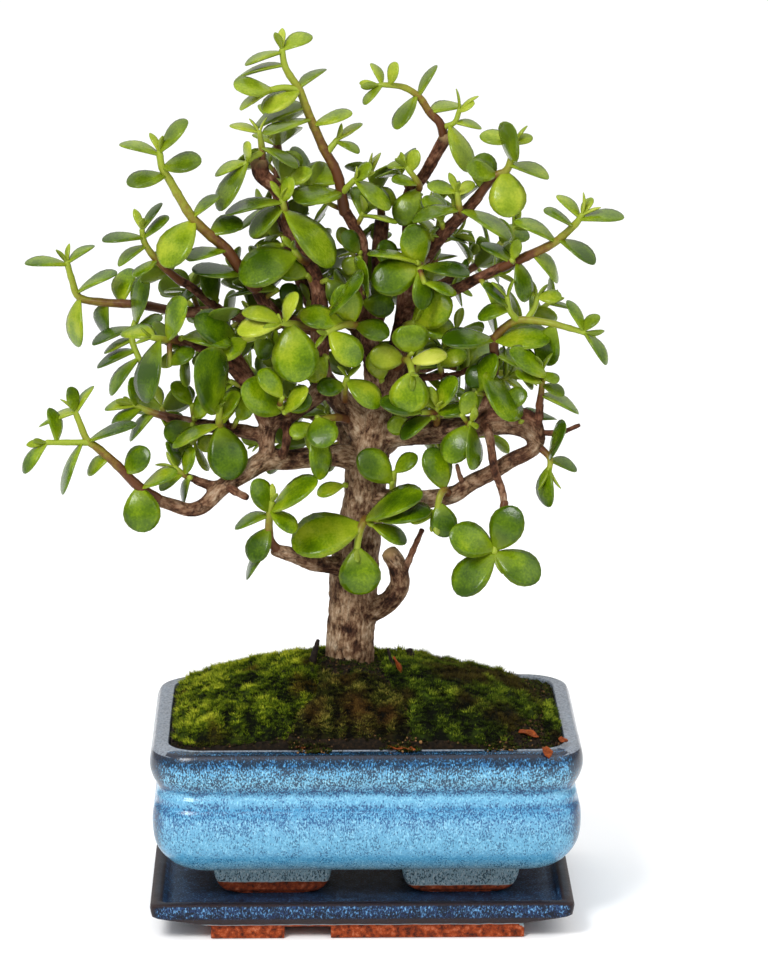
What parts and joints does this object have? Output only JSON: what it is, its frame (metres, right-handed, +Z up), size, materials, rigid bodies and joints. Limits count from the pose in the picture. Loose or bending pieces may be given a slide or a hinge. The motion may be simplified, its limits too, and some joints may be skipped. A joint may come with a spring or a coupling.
{
  "type": "potted bonsai tree",
  "caption": "Small-leaved dwarf jade bonsai with a thick trunk and open branching crown in a glazed rectangular footed pot with moss on a matching saucer.",
  "frame": {"origin": "middle of the pot seen from above, at the height the saucer's foot stands on", "axes": "+Z up, +X to the right as seen from the front, -Y towards the front"},
  "size_m": [0.2354, 0.1404, 0.3518],
  "materials": {
    "glaze": "gloss",
    "gauze": "matte",
    "soil": "matte",
    "moss": "matte",
    "dry_moss": "matte",
    "dry": "matte",
    "bark": "matte",
    "leaf": "satin"
  },
  "bodies": {
    "root": {"saucer": "glaze", "pot": "glaze", "drain_mesh_left": "gauze", "drain_mesh_right": "gauze", "soil": "soil", "moss_left": "moss", "moss_right": "moss", "moss_dry": "dry_moss", "dead_twig": "dry", "dry_leaf": "dry", "trunk_and_branches": "bark", "shoot_crown_left": "leaf", "shoot_left_cut_top": "leaf", "shoot_left_leader": "leaf", "shoot_left_leader_low": "leaf", "shoot_crown_right": "leaf", "shoot_crown_inner": "leaf", "shoot_right_top": "leaf", "shoot_right_top_twig": "leaf", "shoot_centre_bright": "leaf", "shoot_right_high": "leaf", "shoot_left_far": "leaf", "shoot_left_cluster": "leaf", "shoot_left_hang": "leaf", "shoot_left_high": "leaf", "shoot_centre_left": "leaf", "shoot_centre_front": "leaf", "shoot_centre_yellow": "leaf", "shoot_left_inner": "leaf", "shoot_left_pair": "leaf", "shoot_centre_right": "leaf", "shoot_right_middle": "leaf", "shoot_right_fork": "leaf", "shoot_centre_low": "leaf", "shoot_left_mid": "leaf", "shoot_left_mid_low": "leaf", "shoot_left_low": "leaf", "shoot_right_tip": "leaf", "shoot_right_tip_low": "leaf", "shoot_right_limb": "leaf", "shoot_right_lower": "leaf", "shoot_rosette": "leaf", "shoot_lower_left": "leaf", "shoot_lower_left_twig": "leaf", "shoot_left_shelf": "leaf", "shoot_trunk": "leaf", "shoot_back_left_low": "leaf", "shoot_back_left_shelf": "leaf", "shoot_back_right_low": "leaf", "shoot_back_right_shelf": "leaf", "shoot_back_crown_left": "leaf", "shoot_back_crown": "leaf", "shoot_back_right_high": "leaf", "shoot_back_right_crown": "leaf", "shoot_back_left_high": "leaf", "shoot_back_left_crown": "leaf", "shoot_back_right": "leaf", "shoot_back_right_mid": "leaf", "shoot_back_top": "leaf", "shoot_back_stub": "leaf"}
  },
  "joints": []
}
